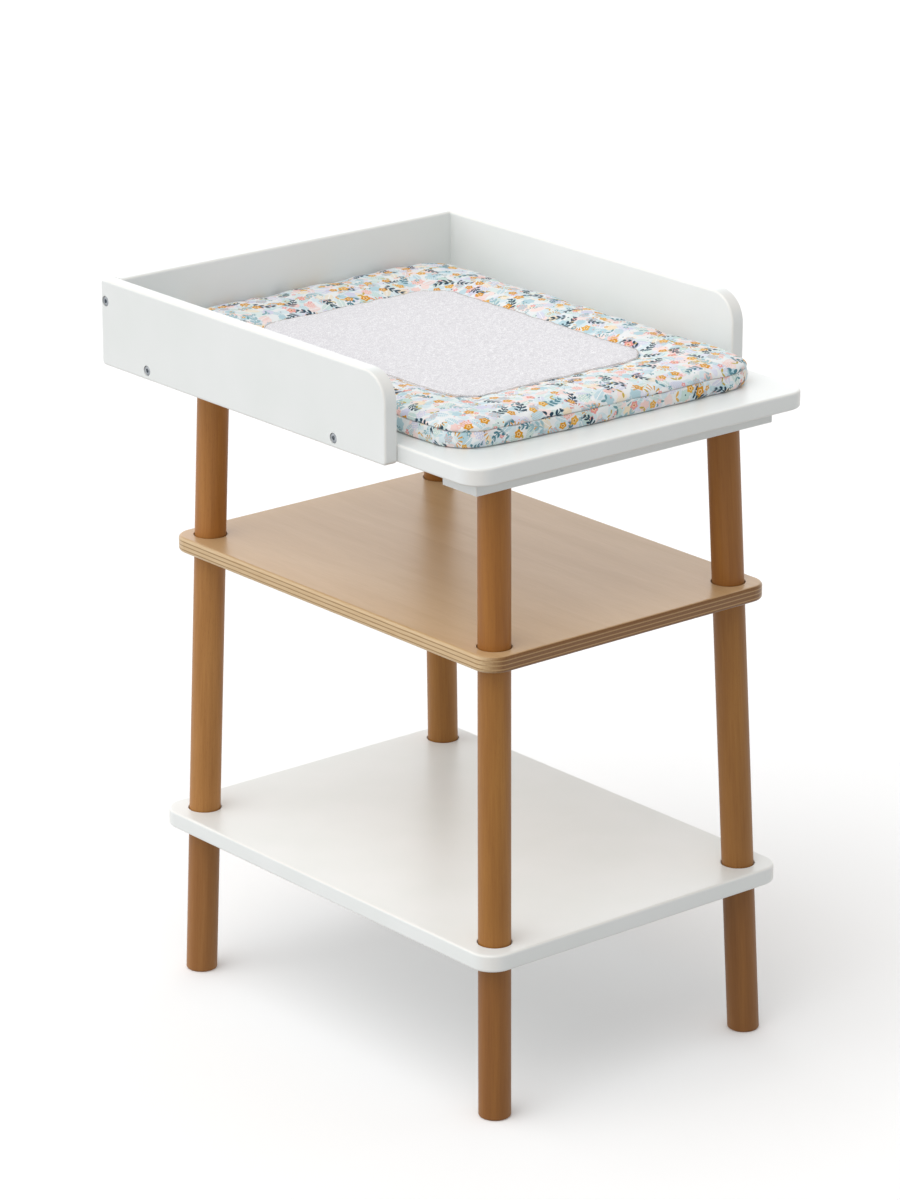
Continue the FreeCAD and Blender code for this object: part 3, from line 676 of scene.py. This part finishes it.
# Painted shadow: the cloth along the seam row is darkened, broken up by noise, where the turned-in
# seam would shade it.
seam_painted_shadow = add(tree, "Math", "MULTIPLY",
                {0: add(tree, "Attribute", {"attribute_name": "seam"}).outputs["Fac"], 1: uneven})
with_seam_shadow = add(tree, "Mix", TINT, {"Factor": seam_painted_shadow, "A": woven, "B": "#908A86"})
crumple = add(tree, "TexNoise", {}, {"Vector": cloth, "Scale": 1 / 14.0, "Detail": 3.0})
rumpled = add(tree, "Bump", {}, {"Height": crumple, "Strength": 0.5, "Distance": 1.2 * MM})
threads = add(tree, "Bump", {}, {"Height": weave, "Strength": 0.35, "Distance": 0.12 * MM,
                                 "Normal": rumpled})
fill(tree, shader, {"Base Color": with_seam_shadow, "Roughness": 0.85, "Normal": threads,
                    "Specular IOR Level": 0.3, "Sheen Weight": 0.12, "Sheen Roughness": 0.5})
print("finish:", cotton.name, "nodes", len(tree.nodes))

# %% [markdown]
# ## Terry towelling and sewing thread
#
# The panel in the middle of the mat is white cotton terry: a dense pile of small loops with
# soft grey shadows between them. The loops are about 1.5 mm wide, and are drawn 2 mm wide, as
# fine as shows here. The larger tufts are real relief in the mesh, and the finish adds their
# shadows and the sheen of loose fibres. The panel's edge is oversewn with a taupe thread, which
# has a slight gloss.

# %% Terry and thread
terry, tree, shader = start_finish("cotton_terry_towelling")
spot = add(tree, "TexCoord").outputs["Object"]
loops = add(tree, "TexVoronoi", {"feature": "SMOOTH_F1"},
            {"Vector": spot, "Scale": 1 / (2.0 * MM), "Smoothness": 0.5})
tufts = add(tree, "TexNoise", {}, {"Vector": spot, "Scale": 1 / (6 * MM), "Detail": 5.0,
                                   "Roughness": 0.7})
nap = add(tree, "Math", "ADD", {0: loops, 1: tufts})
pile = add(tree, "ValToRGB", {}, {0: nap}, [(0.70, "#F6F5F7"), (1.10, "#DDDBDF")])
relief = add(tree, "Bump", {"invert": True}, {"Height": nap, "Strength": 0.6,
                                              "Distance": 0.8 * MM})
fill(tree, shader, {"Base Color": pile, "Roughness": 0.95, "Normal": relief,
                    "Specular IOR Level": 0.2, "Sheen Weight": 0.25, "Sheen Roughness": 0.6})

thread, tree, shader = start_finish("taupe_polyester_thread")
spot = add(tree, "TexCoord").outputs["Object"]
twist = add(tree, "TexNoise", {}, {"Vector": spot, "Scale": 1 / (0.6 * MM), "Detail": 2.0})
dyed = add(tree, "ValToRGB", {}, {0: twist}, [(0.3, "#A69D94"), (0.7, "#D2CBC3")])
relief = add(tree, "Bump", {}, {"Height": twist, "Strength": 0.5, "Distance": 0.1 * MM})
fill(tree, shader, {"Base Color": dyed, "Roughness": 0.55, "Normal": relief, "Sheen Weight": 0.1})
print("finishes:", terry.name, "and", thread.name)

# %% [markdown]
# ## The mat cover: a flat pad before it is filled
#
# The real cover is two pieces of cloth: a top that comes down over the shoulder, and a base
# whose side stands up to meet it in a seam. It could start as a cube that is bevelled, but a
# grid is better cloth: its cells are all about 6 mm, so it can wrinkle anywhere. Two grids are
# made, one for the top and one for the bottom, and bridged; the bridge is cut into rows, and
# the rows take their place from a side profile, with three of them close together for the
# seam. The grids' square corners are pressed round by a formula that keeps the cells even.

# %% The mat's measures
base_low, base_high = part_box("mat_cover_base")
top_low, top_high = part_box("mat_cover_top")
CLOTH_CELL = 6 * MM
MAT_CORNER = 50 * MM
SHOULDER = 9 * MM
TUCK = 6 * MM
SEAM_DIP = 1.6 * MM
SEAM_LIP = 0.9 * MM
SEAM_ROUND = 0.3 * MM
SHOULDER_ROWS = 6
TUCK_ROWS = 3
QUARTER = math.pi / 2

mat_middle = (base_low + base_high) / 2
mat_half = (base_high - base_low) / 2
mat_floor = base_low.z
seam = top_low.z - mat_floor
thick = top_high.z - mat_floor

profile = []
for step in range(SHOULDER_ROWS):
    swing = QUARTER * step / SHOULDER_ROWS
    profile.append((SHOULDER * (1 - math.sin(swing)), seam + (thick - seam) * math.cos(swing)))
profile += [(SEAM_ROUND, seam + SEAM_LIP), (SEAM_DIP, seam), (SEAM_ROUND, seam - SEAM_LIP)]
SEAM_ROW = len(profile) - 2
profile += [(-0.4 * MM, seam - 4 * MM), (-0.8 * MM, seam - 8 * MM), (-0.5 * MM, seam - 12 * MM)]
for step in range(TUCK_ROWS + 1):
    swing = QUARTER * step / TUCK_ROWS
    profile.append((TUCK * (1 - math.cos(swing)), TUCK * (1 - math.sin(swing))))
rows = len(profile) - 1
print("mat", [round(2 * h / MM) for h in mat_half[:2]], "mm, seam", round(seam / MM, 1),
      "mm up,", rows, "rows round the side")

# %% The plan with round corners, and the distance inside it
def rounded_plan(x, y, half, corner, inset=0.0):
    """A point of a plain grid on the same plan with round corners, drawn in by inset."""
    core_x = max(corner - half.x, min(half.x - corner, x))
    core_y = max(corner - half.y, min(half.y - corner, y))
    u = (x - core_x) / corner
    v = (y - core_y) / corner
    reach = corner - inset
    return (core_x + u * math.sqrt(1 - v * v / 2) * reach,
            core_y + v * math.sqrt(1 - u * u / 2) * reach)


def inward(x, y, half, corner):
    """How far a point is inside a rectangle with round corners, less than 0 outside it."""
    dx = abs(x) - (half.x - corner)
    dy = abs(y) - (half.y - corner)
    return corner - math.hypot(max(dx, 0), max(dy, 0)) - min(max(dx, dy), 0)


print("corner point", [round(c / MM, 1) for c in
                       rounded_plan(mat_half.x, mat_half.y, mat_half, MAT_CORNER)])

# %% [markdown]
# The filling pushes the printed border up into a soft roll between the seam and the towel
# panel, and the stitching round the panel pulls a shallow ditch. Both the stitching and the
# seam gather the cloth into small puckers. The front edge of the mat is a little bowed, as
# hand-filled mats are.

# %% The crown of the border, and the bow of the front edge
towel_low, towel_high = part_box("mat_towel_panel")
towel_half = (towel_high - towel_low) / 2
TOWEL_CORNER = 46 * MM
TOWEL_SINK = 3.0 * MM
BORDER_PUFF = 3.2 * MM
DITCH_DEPTH = 0.8 * MM
DITCH_WIDTH = 5 * MM
UNEVEN = 0.9 * MM
UNEVEN_SIZE = 70 * MM
UNEVEN_FADE = 20 * MM
SIDE_WAVE = 2.4 * MM
SEAM_WANDER = 2.0 * MM
WAVE_SIZE = 48 * MM
PUCKER = 1.1 * MM
PUCKER_SIZE = 15 * MM
PUCKER_REACH = 16 * MM
BOW = 16 * MM
BOW_MIDDLE = 100 * MM
BOW_SPAN = 330 * MM
BOW_START = 100 * MM


def crown(x, y):
    """How much the top of the cover stands above its plain height, at a place on the plan."""
    to_edge = max(inward(x, y, mat_half, MAT_CORNER) - SHOULDER, 0)
    from_towel = -inward(x, y, towel_half, TOWEL_CORNER)
    share = max(from_towel, 0) / max(max(from_towel, 0) + to_edge, MM)
    roll = BORDER_PUFF * math.sin(math.pi * share) - TOWEL_SINK * (1 - share) ** 2
    ditch = DITCH_DEPTH * math.exp(-(from_towel / DITCH_WIDTH) ** 2)
    swell = UNEVEN * noise.noise(Vector((x, y, 0)) / UNEVEN_SIZE) * min(1, to_edge / UNEVEN_FADE)
    drawn = PUCKER * noise.noise(Vector((x, y, 0)) / PUCKER_SIZE)
    return roll - ditch + swell + drawn * math.exp(-(from_towel / PUCKER_REACH) ** 2)


def bowed(x, y):
    """How far the front edge is drawn back at x, fading out towards the middle of the mat."""
    share = min(1, max(0, (-y - BOW_START) / (mat_half.y - BOW_START)))
    return BOW * ((x - BOW_MIDDLE) / BOW_SPAN) ** 2 * share * share * (3 - 2 * share)


print("crown at the middle of the front border",
      round(crown(0, -(mat_half.y + towel_half.y) / 2) / MM, 1), "mm")

# %% Two grids, bridged and cut into rows
across = round(2 * mat_half.x / CLOTH_CELL)
along = round(2 * mat_half.y / CLOTH_CELL)
pad = bmesh.new()
seam_shadow = pad.verts.layers.float.new("seam")
stretch = Matrix.Diagonal((mat_half.x, mat_half.y, 1, 1))
for height in (0, thick):
    bmesh.ops.create_grid(pad, x_segments=across, y_segments=along, size=1,
                          matrix=Matrix.Translation((0, 0, height)) @ stretch)
below = [face for face in pad.faces if face.calc_center_median().z < thick / 2]
bmesh.ops.reverse_faces(pad, faces=below)
bmesh.ops.bridge_loops(pad, edges=[edge for edge in pad.edges if edge.is_boundary])
uprights = [edge for edge in pad.edges
            if abs(edge.verts[0].co.z - edge.verts[1].co.z) > thick / 2]
bmesh.ops.subdivide_edges(pad, edges=uprights, cuts=rows - 1, use_grid_fill=True)
bmesh.ops.recalc_face_normals(pad, faces=pad.faces)
row_of = {vertex: round((1 - vertex.co.z / thick) * rows) for vertex in pad.verts}
print("pad:", len(pad.verts), "points,", len(pad.faces), "faces")

# %% Unfold the cloth for the print
# The top cloth is unfolded outwards past its own edge by the length of the profile. The base
# is another piece of cloth, so its side and bottom take the print from other places.
SIDE_CUT = Vector((0.43, 0.26))
BOTTOM_CUT = Vector((0.90, 0.65))
run = [0.0]
for before, after in zip(profile, profile[1:]):
    run.append(run[-1] + math.dist(before, after))

cloth_map = pad.loops.layers.uv.new("cloth")
for face in pad.faces:
    lowest = max(row_of[vertex] for vertex in face.verts)
    highest = min(row_of[vertex] for vertex in face.verts)
    start = BOTTOM_CUT if highest == rows else SIDE_CUT if lowest > SEAM_ROW else Vector((0, 0))
    for loop in face.loops:
        unfold = 0 if highest == rows else SHOULDER - run[row_of[loop.vert]]
        spot = rounded_plan(loop.vert.co.x, loop.vert.co.y, mat_half, MAT_CORNER, unfold)
        loop[cloth_map].uv = start + Vector(spot)
print("cloth runs", round(run[-1] / MM, 1), "mm down the side")

# %% [markdown]
# The seam is a shadowed line where two cloths are turned in. Its shadow is thinner than a
# render can show, so the points of the seam row also carry a number that the finish reads to
# darken the cloth there.

# %% Press the rows into shape
# The slices are the heights at which the side's waves and the seam's are read from the noise.
SEAM_ROWS = 5
SIDE_SLICE = 50 * MM
SEAM_SLICE = Vector((0, 0, 350 * MM))
reach_of = []
for vertex in pad.verts:
    row = row_of[vertex]
    inset, height = profile[row]
    spot = Vector((vertex.co.x, vertex.co.y, SIDE_SLICE))
    near_seam = max(0, 1 - abs(row - SEAM_ROW) / SEAM_ROWS)
    inset += SIDE_WAVE * noise.noise(spot / WAVE_SIZE)
    inset += PUCKER * near_seam * noise.noise(spot / PUCKER_SIZE)
    height += SEAM_WANDER * near_seam * noise.noise((spot + SEAM_SLICE) / WAVE_SIZE)
    x, y = rounded_plan(vertex.co.x, vertex.co.y, mat_half, MAT_CORNER, inset)
    lift = crown(x, y) if row == 0 else 0
    vertex[seam_shadow] = 1.0 if row == SEAM_ROW else 0.0
    pressed = Vector((x, y + bowed(x, y), height + lift + mat_floor))
    vertex.co = pressed + Vector((mat_middle.x, mat_middle.y, 0))
    reach_of.append((row, inward(x, y, towel_half, TOWEL_CORNER)))
mat_cover = make_piece(pad, "mat_cover", cotton)
print("mat cover pressed,", len(mat_cover.data.vertices), "points")

# %% [markdown]
# ## Fill the mat
#
# Cloth simulation swells the cover as the foam and wadding in it would: air pressure pushes
# the cloth out while the bottom, the seam and the stitched outline of the towel panel hold
# it. The cloth is given a little extra length, so that it buckles into soft wrinkles instead of
# turning tight. Pressure alone would blow the mat up into a balloon, so each point may only
# move a few millimetres, more on the border than under the towel, and the limit is soft, so
# that it leaves no edge.

# %% How a piece is swelled
PRESSURE = 4.0
EXTRA_CLOTH = 0.025
LAST_FRAME = 20
CLOTH_SETTINGS = {
    "quality": 6, "mass": 0.2, "tension_stiffness": 12, "compression_stiffness": 12,
    "bending_stiffness": 0.6, "use_pressure": True, "uniform_pressure_force": PRESSURE,
    "shrink_min": -EXTRA_CLOTH}


def swell(piece, held, limits):
    """Inflates a piece with its held points pinned; point number n moves up to limits[n]."""
    pins = piece.vertex_groups.new(name="held")
    pins.add(held, 1.0, "REPLACE")
    cloth = piece.modifiers.new("cloth", "CLOTH")
    cloth.settings.vertex_group_mass = pins.name
    for name, value in CLOTH_SETTINGS.items():
        setattr(cloth.settings, name, value)
    cloth.settings.effector_weights.gravity = 0
    cloth.collision_settings.use_collision = False
    cloth.point_cache.frame_start = 1
    cloth.point_cache.frame_end = LAST_FRAME
    for frame_number in range(1, LAST_FRAME + 1):
        scene.frame_set(frame_number)
    filled = piece.evaluated_get(bpy.context.evaluated_depsgraph_get())
    places = [vertex.co.copy() for vertex in filled.data.vertices]
    piece.modifiers.remove(cloth)
    scene.frame_set(1)
    for vertex, place, limit in zip(piece.data.vertices, places, limits):
        move = place - vertex.co
        if move.length > 0:
            vertex.co += move.normalized() * limit * math.tanh(move.length / limit)
    return max((place - vertex.co).length for vertex, place in zip(piece.data.vertices, places))


print("air pressure", PRESSURE, "for", LAST_FRAME, "frames")

# %% Swell the cover
BORDER_SWELL = 3.2 * MM
TOWEL_SWELL = 1.2 * MM
SIDE_SWELL = 1.6 * MM
STITCH_HOLD = 4 * MM
held = [number for number, (row, inside) in enumerate(reach_of)
        if row >= rows - 1 or row == SEAM_ROW or (row == 0 and abs(inside) < STITCH_HOLD)]
limits = [SIDE_SWELL if row > 0 else TOWEL_SWELL if inside > 0 else BORDER_SWELL
          for row, inside in reach_of]
print(len(held), "points held still")
print("cloth was held back by up to", round(swell(mat_cover, held, limits) / MM, 1), "mm")

# %% [markdown]
# After the simulation the cover is kept off the board and the rear panel, which it must not
# cut into, smoothed with one level of subdivision, and shaded smooth.

# %% Settle the cover on the board
CLEARANCE = 0.3 * MM
board_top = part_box("top_board")[1].z
rear_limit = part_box("rear_panel")[0].y - CLEARANCE


def surface_of(piece):
    """The faces of a piece as its modifiers leave them, for casting rays at."""
    bpy.context.view_layer.update()
    return BVHTree.FromObject(piece, bpy.context.evaluated_depsgraph_get())


for vertex in mat_cover.data.vertices:
    vertex.co.z = max(vertex.co.z, board_top + CLEARANCE)
    vertex.co.y = min(vertex.co.y, rear_limit)
mat_cover.data.shade_smooth()
smooth = mat_cover.modifiers.new("smooth", "SUBSURF")
smooth.levels = 1
smooth.render_levels = 1
cover_surface = surface_of(mat_cover)
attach(mat_cover, "mat")
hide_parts("mat_cover_top", "mat_cover_base", "mat_foam_core")
print("mat cover top", round(max(v.co.z for v in mat_cover.data.vertices) / MM, 1), "mm")

# %% [markdown]
# ## The towel panel
#
# The terry panel is one flat piece with round corners, laid on the filled mat and sewn round
# its edge. A fine grid is dropped onto the cover by casting a ray down from each point, and
# then each point is raised by a chance amount, which makes the pile. The pile dies away at the
# edge, where the stitches press it down. Solidify gives the cloth its thickness underneath.

# %% Where the panel lies
# Each wander is the size of a wave in the sewing, and how far it shifts the cloth.
WANDERS = ((38 * MM, 3.2 * MM), (11 * MM, 1.3 * MM))
towel_middle = (towel_low + towel_high) / 2
above = top_high.z + 50 * MM


def on_surface(surface, x, y):
    """The height of a surface at a place on the plan."""
    hit = surface.ray_cast(Vector((x, y, above)), Vector((0, 0, -1)))
    return hit[0].z


def wander(x, y):
    """How far hand sewing has shifted the panel's cloth at a place on the plan."""
    total = Vector((0, 0))
    for size, amount in WANDERS:
        spot = Vector((x, y, 0)) / size
        total += amount * Vector((noise.noise(spot), noise.noise(spot + Vector((0, 0, 9)))))
    return total


print("sewing shifts the cloth by up to about", round(sum(a for s, a in WANDERS) / MM, 1), "mm")

# %% Drop the panel onto the mat
PILE_CELL = 2.2 * MM
PILE_HEIGHT = 1.0 * MM
TUFT_HEIGHT = 0.9 * MM
TUFT_SIZE = 7 * MM
TERRY_CLOTH = 1.2 * MM
TERRY_BACKING = 1.0 * MM
PRESSED_EDGE = 5 * MM
random.seed(7)
panel = bmesh.new()
bmesh.ops.create_grid(panel, x_segments=round(2 * towel_half.x / PILE_CELL),
                      y_segments=round(2 * towel_half.y / PILE_CELL), size=1,
                      matrix=Matrix.Diagonal((towel_half.x, towel_half.y, 1, 1)))
for vertex in panel.verts:
    x, y = rounded_plan(vertex.co.x, vertex.co.y, towel_half, TOWEL_CORNER)
    free = min(1, inward(x, y, towel_half, TOWEL_CORNER) / PRESSED_EDGE)
    tuft = TUFT_HEIGHT * noise.noise(Vector((x, y, 0)) / TUFT_SIZE)
    pile = TERRY_CLOTH + free * (PILE_HEIGHT * random.random() + tuft)
    x, y = Vector((x, y)) + wander(x, y) + towel_middle.xy
    vertex.co = (x, y, on_surface(cover_surface, x, y) + pile)
mat_towel = make_piece(panel, "mat_towel", terry)
mat_towel.data.shade_smooth()
body = mat_towel.modifiers.new("cloth_thickness", "SOLIDIFY")
body.thickness = TERRY_BACKING
body.offset = -1
nap_surface = surface_of(mat_towel)
print("towel panel:", len(mat_towel.data.vertices), "points")

# %% [markdown]
# ## The stitches round the panel
#
# The panel is sewn on with a close zigzag in taupe thread. Each stitch is a tiny slanted bead of
# thread, and there are over five hundred, so each has only the twenty faces of the simplest
# icosphere. They are placed by walking round the outline: straight sides and quarter circles.

# %% Walk round the outline
STITCH_STEP = 2.6 * MM
STITCH_INSET = 1.4 * MM
STITCH_SIZE = (1.7 * MM, 0.42 * MM, 0.40 * MM)
ZIGZAG = math.radians(38)


def outline_point(distance):
    """The place and heading on the panel's stitch line, a distance along it."""
    corner = TOWEL_CORNER - STITCH_INSET
    straight = (2 * (towel_half.x - TOWEL_CORNER), 2 * (towel_half.y - TOWEL_CORNER))
    arc = QUARTER * corner
    heading = 0.0
    spot = Vector((-straight[0] / 2, -towel_half.y + STITCH_INSET))
    for side in range(4):
        forward = Vector((math.cos(heading), math.sin(heading)))
        inwards = Vector((-forward.y, forward.x))
        length = straight[side % 2]
        if distance <= length:
            return spot + forward * distance, heading
        distance -= length
        spot += forward * length
        if distance <= arc:
            swing = distance / corner
            return (spot + inwards * corner * (1 - math.cos(swing))
                    + forward * corner * math.sin(swing)), heading + swing
        distance -= arc
        spot += (forward + inwards) * corner
        heading += QUARTER
    return spot, heading


outline = (4 * (towel_half.x + towel_half.y - 2 * TOWEL_CORNER)
           + 2 * math.pi * (TOWEL_CORNER - STITCH_INSET))
stitch_count = 2 * round(outline / STITCH_STEP / 2)
print("outline", round(outline / MM), "mm,", stitch_count, "stitches")

# %% Sew
sewing = bmesh.new()
for number in range(stitch_count):
    spot, heading = outline_point(outline * number / stitch_count)
    x, y = spot + wander(*spot) + towel_middle.xy
    slant = ZIGZAG if number % 2 else -ZIGZAG
    place = Matrix.Translation((x, y, on_surface(nap_surface, x, y) + STITCH_SIZE[2] / 2))
    turn = Matrix.Rotation(heading + slant, 4, "Z")
    bmesh.ops.create_icosphere(sewing, subdivisions=1, radius=1,
                               matrix=place @ turn @ Matrix.Diagonal((*STITCH_SIZE, 1)))
mat_stitches = make_piece(sewing, "mat_stitches", thread)
mat_stitches.data.shade_smooth()
for piece in (mat_towel, mat_stitches):
    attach(piece, "mat")
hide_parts("mat_towel_panel")
print("sewn with", len(mat_stitches.data.polygons), "faces of thread")
